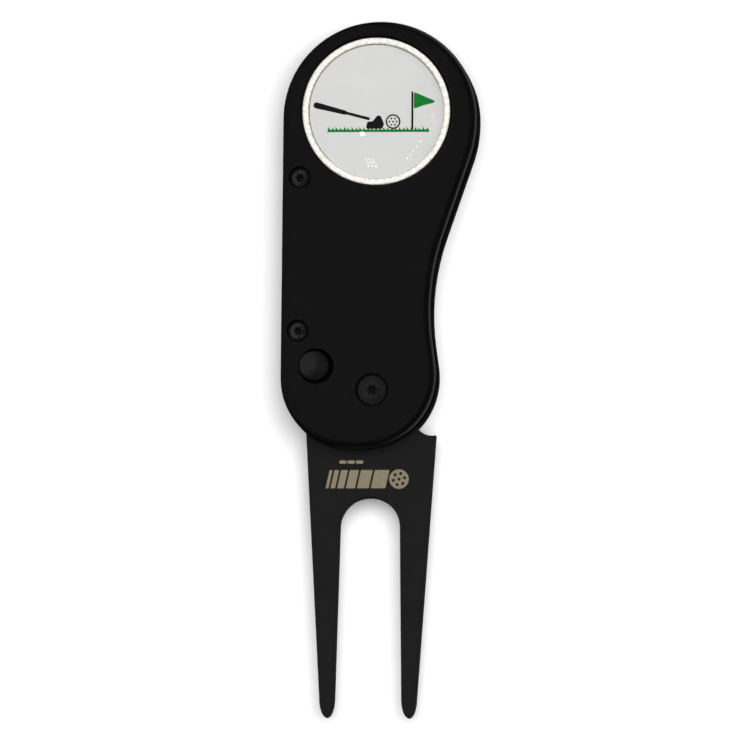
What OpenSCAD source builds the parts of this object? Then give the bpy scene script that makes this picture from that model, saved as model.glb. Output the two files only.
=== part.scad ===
// Spring-out divot repair fork with a lift-off magnetic ball marker.
//
// The tool lies on its back with the fork open. X runs across the handle, Y from the
// prongs to the marker end, and Z up through the handle's thickness. All sizes are in mm.
// Places on the tool are measured from the fork's pivot axis, and every module is then
// moved so that the origin is the middle of the tool's footprint, on the table.

/* [Handle] */
// Thickness of the closed handle, over both shells
handle_t = 10.5; // [10.5:0.1:11.5]
// Thickness of the back shell
back_t = 3.6; // [3.6:0.1:4]
// Radius of the round end that holds the ball marker
head_r = 16.4; // [16:0.1:16.8]
// Distance from the fork's pivot up to the middle of the round end
head_y = 46.2; // [45.8:0.1:46.6]
// Radius of the corner by the lock button
foot_r = 12; // [11.5:0.1:12.8]
// Radius of the corner on the open side
foot_open_r = 12.6; // [11.5:0.1:12.8]
// Radius of the hollow for the fingers, on the open side
waist_r = 40; // [32:1:44]
// Rounding of the front shell's outer edge
face_round = 1.4; // [0.6:0.1:1.6]
// Rounding of the back shell's outer edge
back_round = 1; // [0.4:0.1:1.4]

/* [Fork] */
// Thickness of the steel fork
blade_t = 2.4; // [2:0.1:2.6]
// Width of the fork across its shoulders
shoulder_w = 21.9; // [21:0.1:22.2]
// Distance from the pivot to the tips of the prongs
blade_reach = 55.2; // [52:0.1:56]
// Inward lean of each outer edge, in degrees
side_taper = 3.55; // [3:0.05:4]
// Radius of the round top of the gap between the prongs
gap_r = 5.06; // [4.5:0.02:5.4]
// Outward lean of each side of the gap, in degrees
gap_flare = 1.15; // [0.6:0.05:1.4]
// Length of the rounded tip of each prong
tip_len = 3.3; // [2:0.1:4]
// Radius of the round tang inside the handle
tang_r = 8.4; // [8:0.1:8.5]

/* [Pivot] */
// Outside diameter of the barrel nut that the fork turns on
barrel_d = 4; // [3.6:0.1:4.2]
// Thickness of each pivot washer
washer_t = 0.2; // [0.1:0.1:0.3]
// Diameter of the pivot screw's head
pivot_head_d = 5; // [4.4:0.1:5.2]

/* [Lock button] */
// Diameter of the button
button_d = 5; // [4.6:0.1:5.2]
// Height of the button's rim above the handle's face
button_proud = 0.3; // [0.2:0.1:0.8]
// Height of the button's dome
button_dome = 0.9; // [0.4:0.1:1]

/* [Ball marker] */
// Diameter of the ball marker
marker_d = 25; // [24:0.1:25.2]
// Width of the bright rim round the marker
marker_rim = 1; // [0.8:0.1:1.2]
// Depth of the recess that holds the marker
recess_depth = 1.9; // [1.6:0.1:2]
// Height of the clear dome over the marker's insert
dome_rise = 0.7; // [0.3:0.1:1]

/* [Hidden] */
$fn = 96;

// Play between parts that only sit in each other, and the overshoot of a cut
play = 0.05;
cut = 1;
// Largest turn between two points on a round stretch of an outline, in degrees
arc_step = 7;

// Heights of the layers
blade_lo = back_t + washer_t;
blade_hi = blade_lo + blade_t;
front_lo = blade_hi + washer_t;
recess_z = handle_t - recess_depth;

// Handle outline: corners as [x, y, radius], counter-clockwise
head_x = 1.25;
head_top = head_y + head_r;
foot_y = -9.9;
handle_corners = [
    [head_x + head_r, head_top, head_r],
    [head_x - head_r, head_top, head_r],
    [-15.65, foot_y, foot_r],
    [12.75, foot_y, foot_open_r],
    [8.95, 17.4, waist_r],
    [head_x + head_r, head_y - 3.6, 20.6]];

// A place inside the outline that sees every corner
handle_mid = [0, 20];

// Frame inside the shells: how far it sits back, its width, and where it ends
spine_inset = 0.25;
spine_w = 1.9;
spine_end_angle = 42;
spine_foot_y = -3.6;
far = 60;

// Fork: tilt and sideways set in the open position, and heights along it
blade_tilt = -0.5;
blade_shift = -0.35;
shoulder_y = -8.06;
tang_foot_y = -4.1;
gap_y = -23;
tip_y = -blade_reach + tip_len;
leg_hole_r = 0.55;

// Lock: the button's hole, how the button leans in it, and its place on the closed fork
button_pos = [-9.47, 4.02];
button_lean = [-0.39, 0.08];
button_hole_r = button_d / 2 + 0.45;
notch_r = 3;
closed_notch = [9.94, -4.43];
button_travel = 1.4;
button_top = handle_t + button_proud;
neck_top = blade_hi + button_travel + 0.3;
neck_r = 1.5;
collar_h = 1.2;
button_bore_r = 1.05;
pocket_floor = 0.7;

// Pivot screw and barrel nut
barrel_r = barrel_d / 2;
pivot_seat_z = handle_t - 1.5;
flange_r = 2.6;
flange_t = 0.65;
shank_r = 1.45;
barrel_floor = 2;

// Case screws and the pin that stops the open fork
case_upper = [-12.36, 36.05];
case_lower = [-12.6, 10.06];
case_seat_z = handle_t - 1.8;
case_head_r = 1.55;
case_shank_r = 0.95;
case_tip_z = 1.2;
stop_pos = [-10, -2.9];
stop_r = 1;
stop_depth = 1.6;

// Torsion spring round the pivot
coil_r = 3.9;
coil_wire = 0.8;
coil_turns = 2;
coil_pitch = 0.84;
coil_z = 1.4;
coil_floor = 0.9;
coil_leg = 5;
coil_angle = 90;

// Ball marker, and the magnet under it
marker_pos = [0.54, 47.28];
marker_r = marker_d / 2;
recess_pos = marker_pos + [0.15, 0.15];
recess_r = marker_r + 0.3;
magnet_r = 5;
magnet_t = 1.25;
yoke_t = 0.4;
magnet_gap = 0.1;
cup_floor = 0.8;
insert_t = 0.3;
lens_edge = 0.6;

// ---- Outlines ----

function unit(v) = v / norm(v);

// One round corner as a list of [point, outward direction]
function corner_arc(before, corner, after) =
    let (at = [corner.x, corner.y],
         u = unit(at - [before.x, before.y]),
         v = unit([after.x, after.y] - at),
         turn = atan2(cross(u, v), u * v),
         side = sign(turn),
         r = corner.z,
         middle = at - u * r * tan(abs(turn) / 2) + side * r * [-u.y, u.x],
         first = atan2(-side * u.x, side * u.y),
         steps = max(2, ceil(abs(turn) / arc_step)))
    [for (i = [0:steps])
        let (a = first + turn * i / steps, out = [cos(a), sin(a)])
        [middle + r * out, side * out]];

// A polygon with round corners, as a list of [point, outward direction]
function round_outline(corners) =
    let (n = len(corners))
    [for (i = [0:n - 1]) each
        corner_arc(corners[(i + n - 1) % n], corners[i], corners[(i + 1) % n])];

function inset(edge, d) = [for (q = edge) q[0] - d * q[1]];

function turned(p, a) = [p.x * cos(a) - p.y * sin(a), p.x * sin(a) + p.y * cos(a)];

handle_edge = round_outline(handle_corners);

// Half widths of the fork and of the gap at a height along it
function fork_half(y) = shoulder_w / 2 + (y - shoulder_y) * tan(side_taper);
function gap_half(y) = gap_r / cos(gap_flare) + (gap_y - y) * tan(gap_flare);

// One prong's tip, from its outer edge round to the gap
function prong_tip(steps = 10) =
    let (mid = (fork_half(tip_y) + gap_half(tip_y)) / 2,
         half = (fork_half(tip_y) - gap_half(tip_y)) / 2)
    [for (i = [0:steps])
        let (a = 180 * i / steps)
        [mid + half * cos(a), tip_y - tip_len * sin(a)]];

function mirrored(points) = [for (i = [len(points) - 1:-1:0]) [-points[i].x, points[i].y]];

// Right half of the fork below the tang, from its top down round the prong to the gap
fork_side = concat(
    [[fork_half(tang_foot_y), tang_foot_y]],
    prong_tip(),
    [for (a = [gap_flare:8:90]) [gap_r * cos(a), gap_y + gap_r * sin(a)]]);
tang_end = asin(tang_foot_y / tang_r);
fork_edge = concat(
    [for (p = concat(fork_side, mirrored(fork_side)))
        turned(p + [blade_shift, 0], blade_tilt)],
    [for (a = [180 - tang_end:-5:tang_end]) tang_r * [cos(a), sin(a)]]);

edge_xs = [for (q = handle_edge) q[0].x];
origin = [(min(edge_xs) + max(edge_xs)) / 2,
    (head_top + min([for (p = fork_edge) p.y])) / 2, 0];

// ---- Building blocks ----

module placed() {
    translate(-origin)
        children();
}

// A round bar or disc standing at a place, between two heights
module bar(pos, r, z0, z1) {
    translate([pos.x, pos.y, z0])
        cylinder(r = r, h = z1 - z0);
}

// The handle's outline between two heights, with rounded outer edges
module rounded_plate(z0, z1, round0, round1, steps = 5) {
    profile = concat(
        round0 == 0 ? [[0, z0]] : [for (i = [0:steps])
            let (a = 90 * i / steps) [round0 * (1 - sin(a)), z0 + round0 * (1 - cos(a))]],
        round1 == 0 ? [[0, z1]] : [for (i = [0:steps])
            let (a = 90 * i / steps) [round1 * (1 - cos(a)), z1 - round1 * (1 - sin(a))]]);
    n = len(handle_edge);
    points = [for (k = profile) for (p = inset(handle_edge, k[0])) [p.x, p.y, k[1]]];
    last = (len(profile) - 1) * n;
    low_mid = len(points);
    sides = [for (k = [0:len(profile) - 2]) for (i = [0:n - 1])
        [k * n + i, (k + 1) * n + i, (k + 1) * n + (i + 1) % n, k * n + (i + 1) % n]];
    polyhedron(
        concat(points, [[handle_mid.x, handle_mid.y, z0], [handle_mid.x, handle_mid.y, z1]]),
        concat(sides,
            [for (i = [0:n - 1]) [low_mid, i, (i + 1) % n]],
            [for (i = [0:n - 1]) [low_mid + 1, last + (i + 1) % n, last + i]]));
}

// A cap of a ball: flat below, with a rim of radius r and a rise in the middle
module ball_cap(r, rise) {
    ball_r = (r * r + rise * rise) / (2 * rise);
    intersection() {
        translate([0, 0, rise - ball_r])
            sphere(r = ball_r, $fn = 200);
        cylinder(r = r, h = rise);
    }
}

// Six-lobed driver recess, cut down from the height z
module driver_recess(r, depth, z) {
    translate([0, 0, z - depth])
        linear_extrude(depth + cut)
            union() {
                circle(r = r * 0.76);
                for (a = [0:60:300])
                    rotate(a)
                        translate([r * 0.72, 0])
                            circle(r = r * 0.28, $fn = 24);
            }
}

// Round wire along a path of [point, direction square to the wire]
module wire(path, r, sides = 8) {
    n = len(path);
    points = [for (i = [0:n - 1])
        let (here = path[i][0],
             ahead = unit(path[min(i + 1, n - 1)][0] - path[max(i - 1, 0)][0]),
             across = unit(path[i][1]),
             up = cross(ahead, across))
        for (j = [0:sides - 1])
            here + r * (cos(360 * j / sides) * across + sin(360 * j / sides) * up)];
    walls = [for (i = [0:n - 2]) for (j = [0:sides - 1])
        let (a = i * sides + j, b = i * sides + (j + 1) % sides)
        each [[a, b, b + sides], [a, b + sides, a + sides]]];
    polyhedron(points, concat([[for (j = [sides - 1:-1:0]) j]], walls,
        [[for (j = [0:sides - 1]) (n - 1) * sides + j]]));
}

// A helix as a wire path, starting at the angle a0 and rising from z0
function helix(r, turns, pitch, z0, a0, per_turn) =
    [for (i = [0:turns * per_turn])
        let (a = a0 + 360 * i / per_turn, out = [cos(a), sin(a), 0])
        [r * out + [0, 0, z0 + pitch * i / per_turn], out]];

// Small machine screw with a domed head: the shank points down from the seat
module screw(head_r, head_h, dome, shank, z_seat, z_tip, driver_r) {
    difference() {
        union() {
            bar([0, 0], shank, z_tip, z_seat + play);
            bar([0, 0], head_r, z_seat, z_seat + head_h);
            translate([0, 0, z_seat + head_h])
                ball_cap(head_r, dome);
        }
        driver_recess(driver_r, head_h, z_seat + head_h + dome);
    }
}

// ---- Handle ----

module front_shell() {
    color([0.08, 0.08, 0.08]) placed()
        difference() {
            rounded_plate(front_lo, handle_t, 0, face_round);
            bar(recess_pos, recess_r, recess_z, handle_t + cut);
            bar(marker_pos, magnet_r + play, recess_z - magnet_t - yoke_t - magnet_gap,
                recess_z + cut);
            bar([0, 0], barrel_r + play, front_lo - cut, handle_t + cut);
            bar([0, 0], pivot_head_d / 2 + 0.25, pivot_seat_z, handle_t + cut);
            bar(button_pos, button_hole_r, front_lo - cut, handle_t + cut);
            bar(stop_pos, stop_r + play, front_lo - cut, front_lo + stop_depth + play);
            for (p = [case_upper, case_lower]) {
                bar(p, case_shank_r + play, front_lo - cut, handle_t + cut);
                bar(p, case_head_r + 0.3, case_seat_z, handle_t + cut);
            }
        }
}

module back_shell() {
    leg_from = turned([coil_r, 0], coil_angle);
    color([0.1, 0.1, 0.1]) placed()
        difference() {
            rounded_plate(0, back_t, back_round, 0);
            bar([0, 0], barrel_r + play, -cut, back_t + cut);
            bar([0, 0], flange_r + play, -cut, flange_t + 2 * play);
            difference() {
                bar([0, 0], coil_r + coil_wire, coil_floor, back_t + cut);
                bar([0, 0], coil_r - coil_wire, 0, back_t + 2 * cut);
            }
            translate([leg_from.x, leg_from.y - 0.6, coil_floor])
                cube([coil_leg + 0.4, 1.2, back_t]);
            bar(button_pos, button_hole_r, pocket_floor, back_t + cut);
            bar(stop_pos, stop_r + play, back_t - stop_depth - play, back_t + cut);
            for (p = [case_upper, case_lower])
                bar(p, case_shank_r + play, case_tip_z - 0.2, back_t + cut);
        }
}

module spine_spacer() {
    edge_dir = [cos(spine_end_angle), sin(spine_end_angle)];
    color([0.14, 0.14, 0.14]) placed()
        translate([0, 0, back_t])
            linear_extrude(front_lo - back_t)
                difference() {
                    union() {
                        difference() {
                            polygon(inset(handle_edge, spine_inset));
                            polygon(inset(handle_edge, spine_inset + spine_w));
                            polygon([[head_x, head_y], [0, spine_foot_y],
                                [-far, spine_foot_y], [-far, -far], [far, -far],
                                [far, head_y], [head_x, head_y] + far * edge_dir]);
                        }
                        translate(case_upper)
                            circle(r = 1.9);
                        translate(case_lower)
                            circle(r = 1.6);
                    }
                    translate(case_upper)
                        circle(r = case_shank_r + play);
                    translate(case_lower)
                        circle(r = case_shank_r + play);
                }
}

module stop_pin() {
    color([0.6, 0.6, 0.62]) placed()
        bar(stop_pos, stop_r, back_t - stop_depth, front_lo + stop_depth);
}

module case_screw_at(pos) {
    color([0.16, 0.16, 0.17]) placed()
        translate(pos)
            screw(case_head_r, 0.8, 0.25, case_shank_r, case_seat_z, case_tip_z, 0.8);
}

module case_screw_upper() {
    case_screw_at(case_upper);
}

module case_screw_lower() {
    case_screw_at(case_lower);
}

// ---- Fork and pivot ----

module fork_blade() {
    color([0.2, 0.2, 0.21]) placed()
        translate([0, 0, blade_lo])
            linear_extrude(blade_t)
                difference() {
                    polygon(fork_edge);
                    circle(r = barrel_r + play);
                    translate(closed_notch)
                        circle(r = notch_r);
                    translate(button_pos)
                        circle(r = notch_r);
                    translate(turned([coil_r, 0], coil_angle))
                        circle(r = leg_hole_r);
                }
}

module pivot_screw() {
    color([0.16, 0.16, 0.17]) placed()
        screw(pivot_head_d / 2, 0.8, 0.6, shank_r, pivot_seat_z, barrel_floor + 0.4, 0.95);
}

module pivot_barrel() {
    color([0.6, 0.6, 0.62]) placed()
        difference() {
            union() {
                bar([0, 0], barrel_r, play, pivot_seat_z - play);
                bar([0, 0], flange_r, play, flange_t);
            }
            bar([0, 0], shank_r + play, barrel_floor, handle_t);
        }
}

module washer(z) {
    color([0.75, 0.6, 0.3]) placed()
        difference() {
            bar([0, 0], barrel_r + 1, z, z + washer_t);
            bar([0, 0], barrel_r + play, z - cut, z + washer_t + cut);
        }
}

module washer_front() {
    washer(blade_hi);
}

module washer_back() {
    washer(back_t);
}

// The fixed leg lies in the back shell; the other leg turns up into the fork
module torsion_spring() {
    coil = helix(coil_r, coil_turns, coil_pitch, coil_z, coil_angle, 28);
    top = coil[len(coil) - 1];
    color([0.65, 0.65, 0.68]) placed()
        wire(concat(
            [[coil[0][0] + [coil_leg, 0, 0], coil[0][1]]],
            coil,
            [[top[0] + [0, 0, blade_hi - 0.6 - top[0].z], top[1]]]), coil_wire / 2);
}

// ---- Lock button ----

module lock_button() {
    color([0.11, 0.11, 0.11]) placed()
        translate(button_pos + button_lean)
            difference() {
                union() {
                    bar([0, 0], button_d / 2, back_t - collar_h, back_t);
                    bar([0, 0], neck_r, back_t - play, neck_top + play);
                    bar([0, 0], button_d / 2, neck_top, button_top);
                    translate([0, 0, button_top])
                        ball_cap(button_d / 2, button_dome);
                }
                bar([0, 0], button_bore_r, 0, button_top - 2);
            }
}

module button_spring() {
    coils = 8;
    wire_d = 0.3;
    rise = button_top - 2 - pocket_floor - wire_d - 2 * play;
    color([0.65, 0.65, 0.68]) placed()
        translate(button_pos + button_lean)
            wire(helix(button_bore_r - wire_d / 2 - 0.1, coils, rise / coils,
                pocket_floor + wire_d / 2 + play, 0, 14), wire_d / 2, 6);
}

// ---- Ball marker ----

module magnet_yoke() {
    color([0.55, 0.55, 0.57]) placed()
        bar(marker_pos, magnet_r, recess_z - magnet_gap - magnet_t - yoke_t,
            recess_z - magnet_gap - magnet_t);
}

module marker_magnet() {
    color([0.7, 0.7, 0.72]) placed()
        bar(marker_pos, magnet_r, recess_z - magnet_gap - magnet_t, recess_z - magnet_gap);
}

module marker_cup() {
    base = recess_z + 0.02;
    color([0.82, 0.8, 0.74]) placed()
        difference() {
            bar(marker_pos, marker_r, base, handle_t + 0.1);
            bar(marker_pos, marker_r - marker_rim, base + cup_floor, handle_t + cut);
        }
}

module marker_insert() {
    base = recess_z + 0.02 + cup_floor;
    color([0.9, 0.9, 0.9]) placed()
        bar(marker_pos, marker_r - marker_rim - play, base, base + insert_t);
}

module marker_dome() {
    base = recess_z + 0.02 + cup_floor + insert_t;
    r = marker_r - marker_rim - play;
    color([0.9, 0.95, 1, 0.4]) placed()
        translate([marker_pos.x, marker_pos.y, base])
            union() {
                cylinder(r = r, h = lens_edge);
                translate([0, 0, lens_edge])
                    ball_cap(r, dome_rise);
            }
}

front_shell();
back_shell();
spine_spacer();
fork_blade();
stop_pin();
pivot_screw();
pivot_barrel();
washer_front();
washer_back();
torsion_spring();
lock_button();
button_spring();
case_screw_upper();
case_screw_lower();
magnet_yoke();
marker_magnet();
marker_cup();
marker_insert();
marker_dome();
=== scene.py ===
"""Spring-out divot repair fork with a ball marker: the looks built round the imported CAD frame.

Lengths are written in millimetres and turned into metres where a mesh is made. Plan shapes
are drawn from the fork's pivot axis, and places and heights come from the CAD nodes' boxes.
"""
import math

import bmesh
import bpy
import numpy as np
from mathutils import Matrix, Vector
from mathutils.geometry import delaunay_2d_cdt, tessellate_polygon


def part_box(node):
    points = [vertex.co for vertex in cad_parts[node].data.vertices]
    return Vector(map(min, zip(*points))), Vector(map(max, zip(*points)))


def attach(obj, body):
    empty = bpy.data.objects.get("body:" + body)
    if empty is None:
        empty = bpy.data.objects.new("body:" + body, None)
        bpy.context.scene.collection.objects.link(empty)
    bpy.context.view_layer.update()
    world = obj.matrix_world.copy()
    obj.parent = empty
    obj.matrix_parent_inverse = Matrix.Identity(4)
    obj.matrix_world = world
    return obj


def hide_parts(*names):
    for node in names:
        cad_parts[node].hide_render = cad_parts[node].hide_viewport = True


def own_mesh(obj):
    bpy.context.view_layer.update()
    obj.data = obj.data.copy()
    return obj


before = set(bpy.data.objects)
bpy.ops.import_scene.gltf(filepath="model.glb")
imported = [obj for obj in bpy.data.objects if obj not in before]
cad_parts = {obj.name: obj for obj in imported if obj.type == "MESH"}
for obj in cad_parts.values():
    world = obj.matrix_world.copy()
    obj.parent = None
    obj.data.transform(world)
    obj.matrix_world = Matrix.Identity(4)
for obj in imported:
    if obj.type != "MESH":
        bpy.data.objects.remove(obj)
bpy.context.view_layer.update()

MM = 0.001
FULL_TURN = 2 * math.pi

# Gap between fitting parts, and the flat band that holds a rounding crisp
PLAY = 0.05
SUPPORT = 0.08

# Fineness of curves, and how near points count as one (the last two in metres)
ARC_STEP = math.radians(3)
ROUND_COUNT = 96
EDGE_STEPS = 8
ON_CIRCLE = 0.002
WELD_REACH = 2e-7
SLIVER_LENGTH = 1e-7


# ---- Places taken from the frame ----

def low(node):
    """Lowest corner of a CAD node, in millimetres."""
    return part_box(node)[0] / MM


def high(node):
    """Highest corner of a CAD node, in millimetres."""
    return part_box(node)[1] / MM


def middle(node):
    """Plan position of a CAD node's middle, in millimetres."""
    return ((low(node) + high(node)) / 2).xy


PIVOT = middle("pivot_screw")
BUTTON = middle("lock_button")
MARKER = middle("marker_cup")
UPPER_SCREW = middle("case_screw_upper")
LOWER_SCREW = middle("case_screw_lower")
STOP = middle("stop_pin")

FACE_Z = high("front_shell").z
FRONT_LOW_Z = low("front_shell").z
BACK_TOP_Z = high("back_shell").z
RECESS_Z = low("marker_cup").z - 0.02
CASE_SEAT_Z = FACE_Z - 1.8
PIVOT_SEAT_Z = FACE_Z - 1.5

# Round holes in the handle
BARREL_BORE_R = 2.05
PIVOT_SINK_R = 2.75
CASE_SINK_R = 1.85
CASE_BORE_R = 1.0
STOP_BORE_R = 1.05
MAGNET_BORE_R = 5.05

# Handle outline: corners from the pivot as (x, y, radius), counter-clockwise
HANDLE_CORNERS = [
    (17.65, 62.6, 16.4), (-15.15, 62.6, 16.4), (-15.65, -9.9, 12.0),
    (12.75, -9.9, 12.6), (8.95, 17.4, 40.0), (17.65, 42.6, 20.6)]
HEAD = PIVOT + Vector((1.25, 46.2))
FACE_ROUND = 1.4
BACK_ROUND = 1.0
SEAM_ROUND = 0.15

# Frame between the shells
SPINE_INSET = 0.25
SPINE_WIDTH = 1.9
SPINE_EDGE = 0.1
SPINE_END = math.radians(42)
SPINE_FOOT_Y = PIVOT.y - 3.6
SPINE_BOSSES = [(UPPER_SCREW, 1.9), (LOWER_SCREW, 1.6)]

# Fork, from the pivot
TANG_R = 8.4
TANG_FOOT_Y = -4.1
SHOULDER_Y = -8.06
SHOULDER_HALF = 10.95
SIDE_TAPER = math.tan(math.radians(3.55))
GAP_Y = -23.0
GAP_R = 5.06
GAP_LEAN = math.radians(1.15)
TIP_Y = -51.9
TIP_LENGTH = 3.3
TIP_BLEND = 1.5
TIP_STEPS = 36
FORK_TILT = math.radians(-0.5)
FORK_SHIFT = Vector((-0.35, 0))
OPEN_NOTCH = Vector((-9.47, 4.02))
CLOSED_NOTCH = Vector((9.94, -4.43))
NOTCH_R = 3.0
FORK_EDGE = 0.22
TIP_EDGE = 0.4
LEG_HOLE_R = 0.55

# Lock button, in its hole
BUTTON_HOLE = PIVOT + OPEN_NOTCH
BUTTON_HOLE_R = 2.95
BUTTON_R = 2.5

# Springs
COIL_R = 3.9
COIL_WIRE_R = 0.4
COIL_LEG = 5.0
COIL_PITCH = 0.84
COIL_TURNS = 2
COIL_STEPS = 48
BUTTON_COIL_R = 0.8
BUTTON_WIRE_R = 0.15
BUTTON_COILS = 8
BUTTON_STEPS = 24

# Ball marker
MARKER_R = 12.5
MARKER_RIM = 1.0
RECESS = MARKER + Vector((0.15, 0.15))
RECESS_R = 12.8


# ---- Plan curves ----

def polar(centre, radius, angle):
    return centre + radius * Vector((math.cos(angle), math.sin(angle)))


def circle(centre, radius, count=ROUND_COUNT):
    return [polar(centre, radius, FULL_TURN * i / count) for i in range(count)]


def arc(centre, radius, start, end):
    """Points along an arc between two angles, in radians."""
    steps = max(2, math.ceil(abs(end - start) / ARC_STEP))
    return [polar(centre, radius, start + (end - start) * i / steps)
            for i in range(steps + 1)]


def angle_from(centre, point):
    return math.atan2(point.y - centre.y, point.x - centre.x)


def round_polygon(corners):
    """A counter-clockwise polygon with a radius at each corner, as dense points."""
    points = []
    for i, (x, y, radius) in enumerate(corners):
        at = Vector((x, y))
        into = (at - Vector(corners[i - 1][:2])).normalized()
        away = (Vector(corners[(i + 1) % len(corners)][:2]) - at).normalized()
        turn = math.atan2(into.cross(away), into.dot(away))
        side = math.copysign(1, turn)
        left = Vector((-into.y, into.x))
        centre = at - into * radius * math.tan(abs(turn) / 2) + side * radius * left
        start = math.atan2(-side * left.y, -side * left.x)
        points += arc(centre, radius, start, start + turn)
    return points


def spread(points, longest):
    """Adds points to a closed loop until no gap is longer than this."""
    result = []
    for at, after in zip(points, points[1:] + points[:1]):
        steps = max(1, math.ceil((after - at).length / longest))
        result += [at.lerp(after, i / steps) for i in range(steps)]
    return result


def soften(points, radius):
    """Rounds every sharp corner of a closed loop with a small curve."""
    result = []
    for before, at, after in zip(points[-1:] + points[:-1], points, points[1:] + points[:1]):
        into, away = (at - before).normalized(), (after - at).normalized()
        turn = abs(math.atan2(into.cross(away), into.dot(away)))
        if turn < math.radians(18):
            result.append(at)
            continue
        back = min(radius * math.tan(turn / 2), 0.45 * (at - before).length,
                   0.45 * (after - at).length)
        start, end = at - into * back, at + away * back
        result += [start.lerp(at, i / 5).lerp(at.lerp(end, i / 5), i / 5) for i in range(6)]
    return result


def outward(points):
    """Directions square to a counter-clockwise loop, pointing out of it."""
    directions = []
    for before, at, after in zip(points[-1:] + points[:-1], points, points[1:] + points[:1]):
        into, away = (at - before).normalized(), (after - at).normalized()
        along = (into + away).normalized()
        directions.append(Vector((along.y, -along.x)) / max(along.dot(into), 0.5))
    return directions


def crossing(inner, outer, centre, radius):
    """The point between an inner and an outer one that lies on a circle."""
    near, far = 0.0, 1.0
    for _ in range(40):
        half = (near + far) / 2
        if (inner.lerp(outer, half) - centre).length < radius:
            near = half
        else:
            far = half
    return inner.lerp(outer, near)


def go_round(points, centre, radius, notch):
    """Leads a counter-clockwise loop round a circle that it would cut through.

    A notch goes round inside the shape, and a boss goes round outside it.
    """
    inside = [(p - centre).length < radius for p in points]
    first = next(i for i in range(len(points)) if inside[i] and not inside[i - 1])
    loop = points[first:] + points[:first]
    count = next(i for i, p in enumerate(loop) if (p - centre).length >= radius)
    start = angle_from(centre, crossing(loop[0], loop[-1], centre, radius))
    end = angle_from(centre, crossing(loop[count - 1], loop[count], centre, radius))
    if notch:
        end -= FULL_TURN * (end > start)
    else:
        end += FULL_TURN * (end < start)
    return arc(centre, radius, start, end) + loop[count:]


# ---- Mesh building ----

def quarter(radius, steps=6):
    """A quarter round as (inset, drop) pairs, from the flat to the wall."""
    return [(radius * (1 - math.sin(a)), radius * (1 - math.cos(a)))
            for a in (math.pi / 2 * i / steps for i in range(steps + 1))]


class Skin:
    """Collects rings of points and the faces between them, for one mesh."""

    def __init__(self):
        self.points = []
        self.faces = []

    def ring(self, plan, z):
        """Adds plan points at one height, or at a height each."""
        heights = z if isinstance(z, list) else [z] * len(plan)
        first = len(self.points)
        self.points += [(p.x * MM, p.y * MM, h * MM) for p, h in zip(plan, heights)]
        return list(range(first, len(self.points)))

    def bridge(self, a, b):
        for i in range(len(a)):
            j = (i + 1) % len(a)
            self.faces.append((a[i], a[j], b[j], b[i]))

    def stack(self, rings):
        for a, b in zip(rings, rings[1:]):
            self.bridge(a, b)

    def close(self, ring):
        """Fans a ring onto its own middle."""
        centre = sum((Vector(self.points[i]) for i in ring), Vector()) / len(ring)
        self.points.append(tuple(centre))
        tip = len(self.points) - 1
        self.faces += [(i, j, tip) for i, j in zip(ring, ring[1:] + ring[:1])]

    def flat(self, *rings):
        """Fills the flat area between an outer ring and the holes in it."""
        order = [i for ring in rings for i in ring]
        loops = [[Vector(self.points[i]) for i in ring] for ring in rings]
        self.faces += [tuple(order[k] for k in face) for face in tessellate_polygon(loops)]

    def turned(self, centre, profile, count=ROUND_COUNT):
        """A lathe-turned solid, from (radius, z) pairs that run from axis to axis."""
        rings = [self.ring(circle(centre, r, count), z) for r, z in profile]
        self.stack(rings)
        self.close(rings[0])
        self.close(rings[-1])

    def hoop(self, centre, profile, count=ROUND_COUNT):
        """A lathe-turned ring, from a closed loop of (radius, z) pairs."""
        rings = [self.ring(circle(centre, r, count), z) for r, z in profile]
        self.stack(rings + rings[:1])

    def well(self, centre, profile):
        """A blind round hole from its mouth to its floor; returns the mouth."""
        rings = [self.ring(circle(centre, r), z) for r, z in profile]
        self.stack(rings)
        self.close(rings[-1])
        return rings[0]

    def tube(self, path, radius, sides=14):
        """Round wire along a path of 3D points, with softly rounded ends."""
        across = Vector((0, 0, 1))
        rings = []
        ends = [(radius * 0.15, 0.55), (radius * 0.5, 0.87)]
        stations = ([(path[0].lerp(path[1], s / (path[1] - path[0]).length), w) for s, w in ends]
                    + [(p, 1.0) for p in path[1:-1]]
                    + [(path[-1].lerp(path[-2], s / (path[-2] - path[-1]).length), w)
                       for s, w in ends[::-1]])
        for i, (at, width) in enumerate(stations):
            before, after = stations[max(i - 1, 0)][0], stations[min(i + 1, len(stations) - 1)][0]
            ahead = (after - before).normalized()
            across = (across - ahead * across.dot(ahead)).normalized()
            up = ahead.cross(across)
            first = len(self.points)
            for a in (FULL_TURN * j / sides for j in range(sides)):
                spot = at + radius * width * (math.cos(a) * across + math.sin(a) * up)
                self.points.append(tuple(spot * MM))
            rings.append(list(range(first, len(self.points))))
        self.stack(rings)
        self.close(rings[0])
        self.close(rings[-1])


def distance_to(point, plan):
    """Distance from a plan point to a closed outline."""
    starts = np.array(plan)
    along = np.roll(starts, -1, axis=0) - starts
    away = np.array(point) - starts
    share = np.clip((away * along).sum(1) / (along * along).sum(1), 0, 1)
    return float(np.linalg.norm(away - share[:, None] * along, axis=1).min())


def is_inside(point, plan):
    """Whether a plan point lies inside a closed outline."""
    crossings = 0
    for a, b in zip(plan, plan[1:] + plan[:1]):
        if (a.y > point.y) != (b.y > point.y):
            crossings += point.x < a.x + (b.x - a.x) * (point.y - a.y) / (b.y - a.y)
    return crossings % 2 == 1


def facet_radius(radius, angle):
    """Distance from the middle of a many-sided circle to its edge at an angle."""
    side = FULL_TURN / ROUND_COUNT
    return radius * math.cos(side / 2) / math.cos(angle % side - side / 2)


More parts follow.
